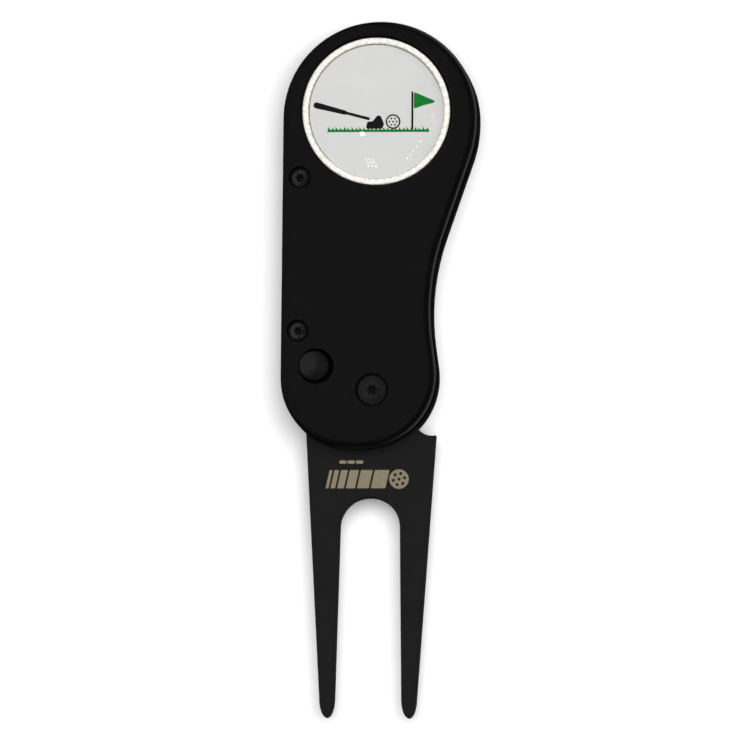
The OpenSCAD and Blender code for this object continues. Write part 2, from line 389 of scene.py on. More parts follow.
def crown(skin, plan, z_face, facing, edge_round, holes):
    """A plate's broad face and rounded edge, cut by round holes wherever they fall.

    Each hole is (centre, radius, rim rounding, [(centre, radius, z), ...], closed).
    Returns the ring at the edge's foot, and the last ring of each open hole.
    """
    places, drops, edges = [], [], []

    def loop(points, drop):
        first, count = len(places), len(points)
        places.extend(points)
        drops.extend([drop] * count)
        edges.extend((first + i, first + (i + 1) % count) for i in range(count))

    square = outward(plan)
    for inset, drop in quarter(edge_round, EDGE_STEPS):
        loop([p - inset * n for p, n in zip(plan, square)], drop)
    for centre, radius, rim, _, _ in holes:
        loop(circle(centre, radius + rim + SUPPORT), None)
        loop(circle(centre, radius + rim), None)
    spots, _, faces, sources, _, _ = delaunay_2d_cdt(places, edges, [], 1, 1e-5, True)

    def drop_at(i):
        known = [drops[k] for k in sources[i] if drops[k] is not None]
        if known:
            return known[0]
        inward = max(edge_round - distance_to(spots[i], plan), 0)
        return edge_round - math.sqrt(max(edge_round ** 2 - inward ** 2, 0))

    def in_hole(point):
        return any((point - centre).length
                   < facet_radius(radius + rim, angle_from(centre, point))
                   for centre, radius, rim, _, _ in holes)

    heights = [z_face - facing * drop_at(i) for i in range(len(spots))]
    kept = skin.ring(spots, heights)
    for face in faces:
        centre = sum((spots[i] for i in face), Vector((0, 0))) / len(face)
        if is_inside(centre, plan) and not in_hole(centre):
            skin.faces.append(tuple(kept[i] for i in face))

    first_of = {}
    for i, origins in enumerate(sources):
        for k in origins:
            first_of[k] = i
    rim_start = len(plan) * EDGE_STEPS
    foot_ring = [kept[first_of[rim_start + i]] for i in range(len(plan))]

    open_ends = []
    for centre, radius, rim, steps, closed in holes:
        mouth = sorted(
            (i for i, p in enumerate(spots)
             if abs((p - centre).length
                    - facet_radius(radius + rim, angle_from(centre, p))) < ON_CIRCLE),
            key=lambda i: angle_from(centre, spots[i]))
        ways = [(spots[i] - centre).normalized() for i in mouth]
        rings = [[kept[i] for i in mouth]]
        for inset, drop in quarter(rim, 4)[1:]:
            rings.append(skin.ring([centre + (radius + inset) * w for w in ways],
                                   [heights[i] - facing * drop for i in mouth]))
        rings += [skin.ring([at + r * w for w in ways], z) for at, r, z in steps]
        skin.stack(rings)
        if closed:
            skin.close(rings[-1])
        else:
            open_ends.append(rings[-1])
    return foot_ring, open_ends


def seam_face(skin, foot_ring, plan, z_face, facing, mouths):
    """The flat face of a shell where it meets the frame, with its small edge rounding."""
    square = outward(plan)
    rings = [skin.ring([p - inset * n for p, n in zip(plan, square)], z_face - facing * drop)
             for inset, drop in quarter(SEAM_ROUND, 4)]
    support = skin.ring([p - (SEAM_ROUND + SUPPORT) * n for p, n in zip(plan, square)], z_face)
    skin.stack([support] + rings + [foot_ring])
    skin.flat(support, *mouths)


def slab(skin, plan, z_low, z_high, edges, holes=()):
    """A flat bar with rounded edges, given as a rounding for each point of the plan."""
    square = outward(plan)
    upper, lower = [], []

    def add_pair(inset, drop, margin=0.0):
        moved = [p - (inset * e + margin) * n for p, n, e in zip(plan, square, edges)]
        upper.append(skin.ring(moved, [z_high - drop * e for e in edges]))
        lower.append(skin.ring(moved, [z_low + drop * e for e in edges]))

    add_pair(1, 0, SUPPORT / 2)
    for inset, drop in quarter(1, 5):
        add_pair(inset, drop)
    skin.stack(upper + lower[::-1])
    tops, bottoms = [upper[0]], [lower[0]]
    for centre, radius, rim in holes:
        profile = quarter(rim, 3)
        down = [skin.ring(circle(centre, radius + i), z_high - d) for i, d in profile]
        back = [skin.ring(circle(centre, radius + i), z_low + d) for i, d in profile]
        skin.stack(down + back[::-1])
        tops.append(down[0])
        bottoms.append(back[0])
    skin.flat(*tops)
    skin.flat(*bottoms)


def wafer(skin, plan, z_low, z_high, holes=()):
    """A thin flat patch of ink or etching, with holes in it."""
    tops = [skin.ring(loop, z_high) for loop in (plan, *holes)]
    bottoms = [skin.ring(loop, z_low) for loop in (plan, *holes)]
    for a, b in zip(tops, bottoms):
        skin.bridge(a, b)
    skin.flat(*tops)
    skin.flat(*bottoms)


def cap_profile(radius, rise, z, steps=10):
    """A ball cap from near its middle out to just inside its rim at height z."""
    ball = (radius * radius + rise * rise) / (2 * rise)
    widest = math.asin(radius / ball)
    return [(ball * math.sin(a), z + rise - ball * (1 - math.cos(a)))
            for a in (widest * (i + 0.5) / steps for i in range(steps))]


def rounded(radius, z, edge, rising):
    """A turned outer edge; rising is +1 for an upper edge and -1 for a lower one."""
    pairs = [(radius - inset, z - rising * drop) for inset, drop in quarter(edge, 4)]
    return pairs if rising > 0 else pairs[::-1]


def disc(radius, z_low, z_high, edge):
    """Profile of a disc with rounded edges, from the top's middle to the bottom's."""
    return ([(radius * 0.5, z_high)] + rounded(radius, z_high, edge, 1)
            + rounded(radius, z_low, edge, -1) + [(radius * 0.5, z_low)])


def make_piece(skin, name, finish, body, node=None, sharp=34):
    """Turns a skin into a smooth-shaded piece that rides on a body."""
    mesh = bpy.data.meshes.new(name)
    mesh.from_pydata(skin.points, [], skin.faces)
    work = bmesh.new()
    work.from_mesh(mesh)
    bmesh.ops.remove_doubles(work, verts=work.verts, dist=WELD_REACH)
    bmesh.ops.dissolve_degenerate(work, edges=work.edges, dist=SLIVER_LENGTH)
    for edge in [e for e in work.edges if not e.link_faces]:
        work.edges.remove(edge)
    bmesh.ops.recalc_face_normals(work, faces=work.faces)
    work.to_mesh(mesh)
    work.free()
    mesh.shade_smooth()
    mesh.set_sharp_from_angle(angle=math.radians(sharp))
    mesh.materials.append(finish)
    piece = bpy.data.objects.new(name, mesh)
    bpy.context.scene.collection.objects.link(piece)
    even = piece.modifiers.new("even_shading", "WEIGHTED_NORMAL")
    even.keep_sharp = True
    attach(piece, body)
    if node:
        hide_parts(node)
    return piece


# ---- Finishes ----

def node_group(name, inputs, outputs):
    group = bpy.data.node_groups.new(name, "ShaderNodeTree")
    for label, value in inputs.items():
        socket = group.interface.new_socket(name=label, in_out="INPUT",
                                            socket_type="NodeSocketFloat")
        socket.default_value = value
    for label in outputs:
        group.interface.new_socket(name=label, in_out="OUTPUT", socket_type="NodeSocketFloat")
    return group, group.nodes.new("NodeGroupInput"), group.nodes.new("NodeGroupOutput")


def build_surface_grain():
    """Fine grain for bumps, and slow mottling for colour and gloss."""
    inputs = {"Grain Size": 6000.0, "Mottle Size": 300.0, "Stretch": 1.0}
    group, given, out = node_group("surface_grain", inputs, ("Grain", "Mottle"))
    nodes, links = group.nodes, group.links
    place = nodes.new("ShaderNodeTexCoord")
    stretch = nodes.new("ShaderNodeCombineXYZ")
    stretch.inputs["X"].default_value = 1
    stretch.inputs["Z"].default_value = 1
    links.new(given.outputs["Stretch"], stretch.inputs["Y"])
    scaled = nodes.new("ShaderNodeVectorMath")
    scaled.operation = "MULTIPLY"
    links.new(place.outputs["Object"], scaled.inputs[0])
    links.new(stretch.outputs[0], scaled.inputs[1])
    for label, size, detail in (("Grain", "Grain Size", 2.0), ("Mottle", "Mottle Size", 5.0)):
        noise = nodes.new("ShaderNodeTexNoise")
        noise.inputs["Detail"].default_value = detail
        links.new(given.outputs[size], noise.inputs["Scale"])
        links.new(scaled.outputs[0], noise.inputs["Vector"])
        links.new(noise.outputs["Fac"], out.inputs[label])
    return group


SURFACE_GRAIN = build_surface_grain()


def grey(value):
    return (value, value, value)


def finish_of(name, dark, light, gloss, bump, grain=6000.0, mottle=300.0, stretch=1.0, **plain):
    """A finish: two tones and two roughnesses mixed by the mottling, over a fine bump.

    gloss is (smoothest, roughest), bump is (strength, depth in mm), grain and mottle are
    sizes per metre, and plain holds the shader's own even values.
    """
    made = bpy.data.materials.new(name)
    made.use_nodes = True
    nodes, links = made.node_tree.nodes, made.node_tree.links
    shader = nodes["Principled BSDF"]
    for label, value in plain.items():
        shader.inputs[label.replace("_", " ")].default_value = value
    skin = nodes.new("ShaderNodeGroup")
    skin.node_tree = SURFACE_GRAIN
    skin.inputs["Grain Size"].default_value = grain
    skin.inputs["Mottle Size"].default_value = mottle
    skin.inputs["Stretch"].default_value = stretch
    tone = nodes.new("ShaderNodeValToRGB")
    tone.color_ramp.elements[0].position = 0.3
    tone.color_ramp.elements[0].color = (*dark, 1)
    tone.color_ramp.elements[1].position = 0.7
    tone.color_ramp.elements[1].color = (*light, 1)
    links.new(skin.outputs["Mottle"], tone.inputs["Fac"])
    links.new(tone.outputs["Color"], shader.inputs["Base Color"])
    rough = nodes.new("ShaderNodeMapRange")
    rough.inputs["From Min"].default_value = 0.3
    rough.inputs["From Max"].default_value = 0.7
    rough.inputs["To Min"].default_value = gloss[0]
    rough.inputs["To Max"].default_value = gloss[1]
    links.new(skin.outputs["Mottle"], rough.inputs["Value"])
    links.new(rough.outputs["Result"], shader.inputs["Roughness"])
    relief = nodes.new("ShaderNodeBump")
    relief.inputs["Strength"].default_value = bump[0]
    relief.inputs["Distance"].default_value = bump[1] * MM
    links.new(skin.outputs["Grain"], relief.inputs["Height"])
    links.new(relief.outputs["Normal"], shader.inputs["Normal"])
    return made


SOFT_BLACK = finish_of("soft_touch_black", grey(0.0019), grey(0.0025), (0.32, 0.38), (0.3, 0.02),
                       grain=7000.0, mottle=260.0, Specular_IOR_Level=0.3)
FRAME_BLACK = finish_of("frame_black", grey(0.002), grey(0.003), (0.55, 0.65), (0.3, 0.02),
                        grain=5000.0, Specular_IOR_Level=0.2)
COATED_STEEL = finish_of("black_coated_steel", grey(0.005), grey(0.0063), (0.38, 0.46),
                         (0.3, 0.012), grain=9000.0, mottle=420.0, Specular_IOR_Level=0.4)
OXIDE_STEEL = finish_of("black_oxide_steel", grey(0.08), grey(0.15), (0.2, 0.36),
                        (0.25, 0.012), grain=5200.0, mottle=1500.0, Metallic=0.95)
PIVOT_BLACK = finish_of("pivot_black", grey(0.006), grey(0.0095), (0.26, 0.36),
                        (0.25, 0.012), grain=5200.0, mottle=1200.0, Specular_IOR_Level=0.4)
BUTTON_BLACK = finish_of("button_black", grey(0.0058), grey(0.007), (0.34, 0.42), (0.25, 0.012),
                         grain=6500.0, mottle=700.0, Specular_IOR_Level=0.75)
TURNED_STEEL = finish_of("turned_steel", grey(0.48), grey(0.6), (0.24, 0.36), (0.2, 0.01),
                         grain=3000.0, mottle=900.0, stretch=6.0, Metallic=1.0)
SPRING_WIRE = finish_of("spring_wire", grey(0.36), grey(0.5), (0.26, 0.4), (0.25, 0.008),
                        grain=9000.0, mottle=1200.0, Metallic=1.0)
ROLLED_BRONZE = finish_of("rolled_bronze", (0.5, 0.3, 0.12), (0.66, 0.42, 0.18), (0.3, 0.42),
                          (0.2, 0.008), grain=4000.0, stretch=5.0, Metallic=1.0)
NICKEL_PLATE = finish_of("nickel_plate", (0.6, 0.58, 0.53), (0.72, 0.7, 0.65), (0.14, 0.24),
                         (0.15, 0.008), grain=2500.0, mottle=700.0, Metallic=1.0)
HAMMERED_RIM = finish_of("hammered_rim", (0.66, 0.62, 0.54), (0.99, 0.98, 0.95), (0.2, 0.34),
                         (0.6, 0.1), grain=1300.0, mottle=1800.0, Metallic=0.15)
WHITE_PRINT = finish_of("white_print", (0.505, 0.503, 0.494), (0.52, 0.518, 0.509), (0.35, 0.4),
                        (0.05, 0.005), grain=4000.0, Specular_IOR_Level=0.0)
# Painted shade: a dark olive ring at the insert's border stands for the shadow that falls at the
# resin's edge.
EDGE_SHADE = finish_of("painted_edge_shade", (0.10, 0.095, 0.055), (0.20, 0.19, 0.12), (0.4, 0.5),
                     (0.05, 0.003), grain=8000.0, mottle=900.0, Specular_IOR_Level=0.0)
DARK_INK = finish_of("dark_ink", (0.0025, 0.0025, 0.003), (0.004, 0.004, 0.005), (0.4, 0.5),
                     (0.05, 0.003), grain=8000.0, Specular_IOR_Level=0.0)
GREEN_INK = finish_of("green_ink", (0.004, 0.12, 0.018), (0.006, 0.15, 0.024), (0.4, 0.5),
                      (0.05, 0.003), grain=8000.0, Specular_IOR_Level=0.0)
ETCHED_TAN = finish_of("etched_tan", (0.18, 0.155, 0.105), (0.25, 0.215, 0.15), (0.45, 0.6),
                       (0.5, 0.01), grain=11000.0, mottle=2600.0, Metallic=0.2)


def build_clear_resin():
    """Poured resin: clear, a little uneven, and letting light through to the print."""
    made = finish_of("clear_resin", (0.97, 0.98, 1.0), (1.0, 1.0, 1.0), (0.01, 0.03),
                     (0.1, 0.05), grain=260.0, mottle=500.0, IOR=1.48,
                     Transmission_Weight=1.0)
    nodes, links = made.node_tree.nodes, made.node_tree.links
    path = nodes.new("ShaderNodeLightPath")
    clear = nodes.new("ShaderNodeBsdfTransparent")
    passed = nodes.new("ShaderNodeMixShader")
    links.new(path.outputs["Is Shadow Ray"], passed.inputs["Fac"])
    links.new(nodes["Principled BSDF"].outputs["BSDF"], passed.inputs[1])
    links.new(clear.outputs["BSDF"], passed.inputs[2])
    links.new(passed.outputs["Shader"], nodes["Material Output"].inputs["Surface"])
    return made


CLEAR_RESIN = build_clear_resin()


# ---- Handle ----

HANDLE_PLAN = spread([PIVOT + p for p in round_polygon(HANDLE_CORNERS)], 2.0)


def make_front_shell():
    skin = Skin()
    magnet_low = low("magnet_yoke").z - 0.02
    recess = (RECESS, RECESS_R, 0.25,
              [(RECESS, RECESS_R, RECESS_Z), (MARKER, MAGNET_BORE_R + 0.2, RECESS_Z),
               (MARKER, MAGNET_BORE_R, RECESS_Z - 0.2), (MARKER, MAGNET_BORE_R, magnet_low)],
              True)
    pivot = (PIVOT, PIVOT_SINK_R, 0.12,
             [(PIVOT, PIVOT_SINK_R, PIVOT_SEAT_Z), (PIVOT, BARREL_BORE_R, PIVOT_SEAT_Z),
              (PIVOT, BARREL_BORE_R, FRONT_LOW_Z)], False)
    button = (BUTTON_HOLE, BUTTON_HOLE_R, 0.12,
              [(BUTTON_HOLE, BUTTON_HOLE_R, FRONT_LOW_Z)], False)
    screws = [(at, CASE_SINK_R, 0.1,
               [(at, CASE_SINK_R, CASE_SEAT_Z), (at, CASE_BORE_R, CASE_SEAT_Z),
                (at, CASE_BORE_R, FRONT_LOW_Z)], False)
              for at in (UPPER_SCREW, LOWER_SCREW)]
    foot_ring, mouths = crown(skin, HANDLE_PLAN, FACE_Z, 1, FACE_ROUND,
                              [recess, pivot, button, *screws])
    pin_top = high("stop_pin").z + PLAY
    mouths.append(skin.well(STOP, [(STOP_BORE_R, FRONT_LOW_Z), (STOP_BORE_R, pin_top)]))
    seam_face(skin, foot_ring, HANDLE_PLAN, FRONT_LOW_Z, -1, mouths)
    make_piece(skin, "front_shell_body", SOFT_BLACK, "handle", "front_shell")


def make_back_shell():
    """The back shell, with the torsion spring's ring-shaped pocket and the slot for its leg."""
    skin = Skin()
    top = BACK_TOP_Z
    pocket_z, pocket_r = 0.9, 4.7
    slot_low, slot_high, slot_end = 3.3, 4.5, 5.4
    sink_r, sink_z, post_r = 2.65, 0.75, 3.1
    button_floor, screw_floor = 0.7, 1.0
    post = [(PIVOT, r, z) for r, z in
            ((sink_r, sink_z), (BARREL_BORE_R, sink_z), (BARREL_BORE_R, top - 0.1),
             (2.15, top), (3.0, top), (post_r, top - 0.1), (post_r, pocket_z))]
    foot_ring, (post_foot,) = crown(skin, HANDLE_PLAN, 0.0, -1, BACK_ROUND,
                                    [(PIVOT, sink_r, 0.1, post, False)])
    from_angle = math.asin(slot_high / pocket_r)
    to_angle = math.asin(slot_low / pocket_r) + FULL_TURN
    pocket = arc(PIVOT, pocket_r, from_angle, to_angle) + [
        PIVOT + Vector((slot_end, slot_low)), PIVOT + Vector((slot_end, slot_high))]
    pocket_floor = skin.ring(pocket, pocket_z)
    pocket_mouth = skin.ring(pocket, top)
    skin.bridge(pocket_floor, pocket_mouth)
    skin.flat(pocket_floor, post_foot)
    mouths = [
        pocket_mouth,
        skin.well(BUTTON_HOLE, [(BUTTON_HOLE_R, top), (BUTTON_HOLE_R, button_floor)]),
        skin.well(STOP, [(STOP_BORE_R, top), (STOP_BORE_R, low("stop_pin").z - PLAY)])]
    mouths += [skin.well(at, [(CASE_BORE_R, top), (CASE_BORE_R, screw_floor)])
               for at in (UPPER_SCREW, LOWER_SCREW)]
    seam_face(skin, foot_ring, HANDLE_PLAN, top, 1, mouths)
    make_piece(skin, "back_shell_body", SOFT_BLACK, "handle", "back_shell")


def spine_stretch(inset):
    """One edge of the frame, from its end at the head round to its foot."""
    dense = spread(HANDLE_PLAN, 0.3)
    moved = [p - inset * n for p, n in zip(dense, outward(dense))]
    first = next(i for i, p in enumerate(moved) if angle_from(HEAD, p) >= SPINE_END)
    last = next(i for i, p in enumerate(moved) if i > first and p.y < SPINE_FOOT_Y)
    return moved[first:last]


def make_spacer():
    skin = Skin()
    outer = spine_stretch(SPINE_INSET)
    inner = spine_stretch(SPINE_INSET + SPINE_WIDTH)
    plan = outer + inner[::-1]
    for centre, radius in SPINE_BOSSES:
        plan = go_round(plan, centre, radius, notch=False)
    plan = soften(plan, 0.3)
    slab(skin, plan, BACK_TOP_Z, FRONT_LOW_Z, [SPINE_EDGE] * len(plan),
         [(at, CASE_BORE_R, SPINE_EDGE) for at in (UPPER_SCREW, LOWER_SCREW)])
    make_piece(skin, "spacer_body", FRAME_BLACK, "handle", "spine_spacer")


# ---- Fork ----

def fork_half(y):
    """Half the fork's width at a height along it."""
    return SHOULDER_HALF + (y - SHOULDER_Y) * SIDE_TAPER


def gap_half(y):
    """Half the gap's width at a height along the prongs."""
    return GAP_R / math.cos(GAP_LEAN) + (GAP_Y - y) * math.tan(GAP_LEAN)


def fork_plan():
    """The fork's outline: tang, notches, shoulders, prongs and gap, counter-clockwise."""
    centre_x = (fork_half(TIP_Y) + gap_half(TIP_Y)) / 2
    half = (fork_half(TIP_Y) - gap_half(TIP_Y)) / 2
    tip = [Vector((centre_x + half * math.cos(a), TIP_Y - TIP_LENGTH * math.sin(a)))
           for a in (math.pi * i / TIP_STEPS for i in range(TIP_STEPS + 1))]
    gap = arc(Vector((0, GAP_Y)), GAP_R, GAP_LEAN, math.pi / 2)
    side = [Vector((fork_half(TANG_FOOT_Y), TANG_FOOT_Y)), *tip, *gap[:-1]]
    both = side + [gap[-1]] + [Vector((-p.x, p.y)) for p in side[::-1]]
    turned = [Matrix.Rotation(FORK_TILT, 2) @ (p + FORK_SHIFT) for p in both]
    tang_end = math.asin(TANG_FOOT_Y / TANG_R)
    tang = arc(Vector((0, 0)), TANG_R, tang_end, math.pi - tang_end)
    plan = spread(tang + turned[::-1], 1.5)
    plan = go_round(plan, CLOSED_NOTCH, NOTCH_R, notch=True)
    plan = go_round(plan, OPEN_NOTCH, NOTCH_R, notch=True)
    return [PIVOT + p for p in soften(plan, 0.5)]


def make_fork():
    skin = Skin()
    plan = fork_plan()
    tip_start = PIVOT.y + TIP_Y + TIP_BLEND
    edges = []
    for p in plan:
        share = min(max((tip_start - p.y) / (TIP_LENGTH + TIP_BLEND), 0), 1)
        edges.append(FORK_EDGE + (TIP_EDGE - FORK_EDGE) * share)
    leg_hole = PIVOT + Vector((0, COIL_R))
    slab(skin, plan, low("fork_blade").z, high("fork_blade").z, edges,
         [(PIVOT, BARREL_BORE_R, 0.15), (leg_hole, LEG_HOLE_R, 0.08)])
    make_piece(skin, "fork_body", COATED_STEEL, "fork", "fork_blade")


def capsule(start, end, radius, end_radius=None):
    """A long plan shape with round ends, which may taper."""
    end_radius = radius if end_radius is None else end_radius
    along = angle_from(start, end)
    lean = math.asin((radius - end_radius) / (end - start).length)
    near = arc(start, radius, along + math.pi / 2 - lean, along + 3 * math.pi / 2 + lean)
    far = arc(end, end_radius, along - math.pi / 2 + lean, along + math.pi / 2 - lean)
    return near + far


def make_etching():
    """Etched device on the fork: a dimpled ball with slanted speed blocks, all generic."""
    skin = Skin()
    z = high("fork_blade").z
    z_low, z_high = z - 0.01, z + 0.01
    ball = PIVOT + Vector((4.35, -14.8))
    dimple_r, dimple_ring = 0.27, 0.98
    dimples = [circle(ball, dimple_r, 20)]
    dimples += [circle(polar(ball, dimple_ring, math.radians(60 * i + 12)), dimple_r, 20)
                for i in range(6)]
    wafer(skin, circle(ball, 1.65, 64), z_low, z_high, dimples)
    right = 2.4
    for width in (2.5, 2.0, 1.55, 1.15, 0.8, 0.5):
        block = [PIVOT + Vector(p) for p in (
            (right - width - 0.35, -16.35), (right - 0.35, -16.35),
            (right + 0.35, -13.25), (right - width + 0.35, -13.25))]
        wafer(skin, soften(block, 0.15), z_low, z_high)
        right -= width + 0.33
    for x in (-5.15, -3.75, -2.35):
        dash = capsule(PIVOT + Vector((x - 0.35, -11.9)), PIVOT + Vector((x + 0.35, -11.9)), 0.28)
        wafer(skin, dash, z_low, z_high)
    make_piece(skin, "fork_etching", ETCHED_TAN, "fork")


# ---- Screws, pivot and springs ----

def lobes(centre, size, count):
    """A six-lobed ring, as wide as size at the lobes."""
    return [polar(centre, size * (0.83 + 0.17 * math.cos(6 * a)), a)
            for a in (FULL_TURN * i / count for i in range(count))]


def make_screw(node, finish, centre, seat, head_r, dome, driver_r, shank_r):
    """Machine screw: domed head, six-lobed driver recess, threaded shank and pointed end."""
    skin = Skin()
    count = 72
    head_h, head_edge = 0.8, 0.22
    tip = low(node).z
    ball = (head_r ** 2 + dome ** 2) / (2 * dome)

    def crown_z(radius):
        return seat + head_h + dome - ball + math.sqrt(ball ** 2 - radius ** 2)

    def on_crown(plan, sink=0.0):
        return skin.ring(plan, [crown_z((p - centre).length) - sink for p in plan])

    floor_z = seat + dome
    inner = lobes(centre, driver_r, count)
    outer = circle(centre, head_r - head_edge, count)
    rings = [skin.ring(lobes(centre, driver_r * 0.15, count), floor_z - 0.5),
             skin.ring(lobes(centre, driver_r * 0.55, count), floor_z - 0.1),
             skin.ring(lobes(centre, driver_r * 0.9, count), floor_z + 0.25),
             skin.ring(inner, floor_z + 0.35),
             on_crown(inner, 0.06),
             on_crown([centre + (p - centre) * (1 + 0.04 / driver_r) for p in inner], 0.01)]
    for i in range(1, 6):
        rings.append(on_crown([p.lerp(q, i / 5) for p, q in
                               zip([centre + (p - centre) * 1.1 for p in inner], outer)]))
    edge_top = crown_z(head_r - head_edge)
    rings += [skin.ring(circle(centre, head_r - i, count), edge_top - d)
              for i, d in quarter(head_edge, 5)[1:]]
    rings += [skin.ring(circle(centre, r, count), z)
              for r, z in ((head_r, seat + 0.1), (head_r - 0.1, seat),
                           (shank_r, seat), (shank_r, seat - 0.5))]
    pitch, depth, slices = 0.45, 0.09, 5
    steps = int((seat - 1.2 - tip) / pitch * slices)
    for k in range(steps):
        z = seat - 0.6 - k * pitch / slices
        turn = [abs(((z / pitch - j / count) % 1) * 2 - 1) for j in range(count)]
        rings.append(skin.ring([polar(centre, shank_r - depth * t, FULL_TURN * j / count)
                                for j, t in enumerate(turn)], z))
    rings += [skin.ring(circle(centre, shank_r - depth, count), tip + 0.35),
              skin.ring(circle(centre, shank_r * 0.55, count), tip)]
    skin.stack(rings)
    skin.close(rings[0])
    skin.close(rings[-1])
    make_piece(skin, node + "_body", finish, "handle", node, sharp=40)


def make_screws():
    make_screw("pivot_screw", PIVOT_BLACK, PIVOT, PIVOT_SEAT_Z, 2.5, 0.6, 0.95, 1.45)
    for node, at in (("case_screw_upper", UPPER_SCREW), ("case_screw_lower", LOWER_SCREW)):
        make_screw(node, OXIDE_STEEL, at, CASE_SEAT_Z, 1.55, 0.25, 0.8, 0.95)


def make_pivot_parts():
    """Flanged barrel nut, a washer on each side of the fork, and the stop pin."""
    bottom, top = low("pivot_barrel").z, high("pivot_barrel").z
    bore_r, bore_floor = 1.5, 2.0
    barrel_r, flange_r, flange_top = 2.0, 2.6, bottom + 0.6
    skin = Skin()
    skin.turned(PIVOT, [(1.0, bore_floor), (bore_r, bore_floor), (bore_r, top - 0.1),
                        (1.6, top), (1.9, top), (barrel_r, top - 0.1), (barrel_r, flange_top),
                        (2.5, flange_top), (flange_r, bottom + 0.5), (flange_r, bottom + 0.12),
                        (2.48, bottom), (1.7, bottom), (1.62, bottom + 0.06),
                        (bore_r, bottom + 0.06), (1.42, bottom), (0.5, bottom)])
    make_piece(skin, "pivot_barrel_body", TURNED_STEEL, "handle", "pivot_barrel")
    for node in ("washer_front", "washer_back"):
        skin = Skin()
        z0, z1 = low(node).z, high(node).z
        washer_r, edge = 3.0, 0.06
        skin.hoop(PIVOT, [(BARREL_BORE_R, z0), (BARREL_BORE_R, z1), (washer_r - edge, z1),
                          (washer_r, z1 - edge), (washer_r, z0 + edge), (washer_r - edge, z0)])
        make_piece(skin, node + "_body", ROLLED_BRONZE, "handle", node)
    skin = Skin()
    skin.turned(STOP, disc(1.0, low("stop_pin").z, high("stop_pin").z, 0.18), 48)
    make_piece(skin, "stop_pin_body", TURNED_STEEL, "handle", "stop_pin")


def at_height(plan, z):
    return Vector((plan.x, plan.y, z))


def make_springs():
    """Torsion spring round the barrel, and the coil under the button, which squashes."""
    low_z = low("torsion_spring").z + COIL_WIRE_R
    coil = []
    for i in range(COIL_TURNS * COIL_STEPS + 1):
        angle = math.pi / 2 + FULL_TURN * i / COIL_STEPS
        coil.append(at_height(polar(PIVOT, COIL_R, angle), low_z + COIL_PITCH * i / COIL_STEPS))
    leg = [coil[0] + Vector((COIL_LEG * (1 - i / 8), 0, 0)) for i in range(8)]
    rise = high("torsion_spring").z - coil[-1].z
    post = [coil[-1] + Vector((-0.18, 0, 0.12)), coil[-1] + Vector((-0.2, 0, rise / 2)),
            coil[-1] + Vector((-0.2, 0, rise))]
    skin = Skin()
    skin.tube(leg + coil + post, COIL_WIRE_R)
    make_piece(skin, "torsion_spring_body", SPRING_WIRE, "handle",
               "torsion_spring", sharp=60)
    bottom = low("button_spring").z + BUTTON_WIRE_R
    top = high("button_spring").z - BUTTON_WIRE_R
    path = []
    for i in range(BUTTON_COILS * BUTTON_STEPS + 1):
        path.append(at_height(polar(BUTTON, BUTTON_COIL_R, FULL_TURN * i / BUTTON_STEPS),
                              bottom + (top - bottom) * i / BUTTON_COILS / BUTTON_STEPS))
    skin = Skin()
    skin.tube(path, BUTTON_WIRE_R, 8)
    spring = make_piece(skin, "button_spring_body", SPRING_WIRE, "handle",
                        "button_spring", sharp=60)
    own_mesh(spring)


def make_button():
    """Domed button on a narrow neck, with a collar at its foot and a bore for its spring."""
    skin = Skin()
    neck_r, bore_r, chamfer_r = 1.5, 1.05, 2.4
    rim_z = FACE_Z + 0.3
    collar_z, collar_top = low("lock_button").z, BACK_TOP_Z
    neck_top = high("fork_blade").z + 1.7
    dome = cap_profile(BUTTON_R, high("lock_button").z - rim_z, rim_z, 14)
    edge = [(2.44, rim_z - 0.02), (2.485, rim_z - 0.08), (BUTTON_R, rim_z - 0.16)]
    skin.turned(BUTTON, dome[:-1] + edge + [
        (BUTTON_R, neck_top + 0.1), (chamfer_r, neck_top), (neck_r, neck_top),
        (neck_r, collar_top), (chamfer_r, collar_top), (BUTTON_R, collar_top - 0.1),
        (BUTTON_R, collar_z + 0.1), (chamfer_r, collar_z), (bore_r, collar_z),
        (bore_r, rim_z - 2), (0.5, rim_z - 2)])
    make_piece(skin, "lock_button_body", BUTTON_BLACK, "button", "lock_button")


# ---- Ball marker ----

def make_magnet():
    """Disc magnet under the recess, and the steel disc behind it."""
    for name, node, edge in (("magnet_yoke_body", "magnet_yoke", 0.08),
                             ("marker_magnet_body", "marker_magnet", 0.2)):
        skin = Skin()
        skin.turned(MARKER, disc(5.0, low(node).z, high(node).z, edge))
        make_piece(skin, name, NICKEL_PLATE, "handle", node)


def make_marker_cup():
    """Cast cup with a rolled, lightly hammered rim."""
    skin = Skin()
    bottom, top = low("marker_cup").z, high("marker_cup").z
    inner = MARKER_R - MARKER_RIM
    floor = bottom + 0.8
    rim_middle, rim_half, rim_rise, rim_steps = 12.0, 0.5, 0.32, 14
    rim = [(rim_middle - rim_half * math.cos(a), top - rim_rise + rim_rise * math.sin(a))
           for a in (math.pi * i / rim_steps for i in range(rim_steps + 1))]
    profile = ([(4.0, floor), (inner, floor)] + rim
               + rounded(MARKER_R, bottom, 0.3, -1) + [(9.0, bottom), (8.8, bottom + 0.15),
                                                       (4.0, bottom + 0.15)])
    skin.turned(MARKER, profile, 180)
    make_piece(skin, "marker_cup_body", HAMMERED_RIM, "marker", "marker_cup")


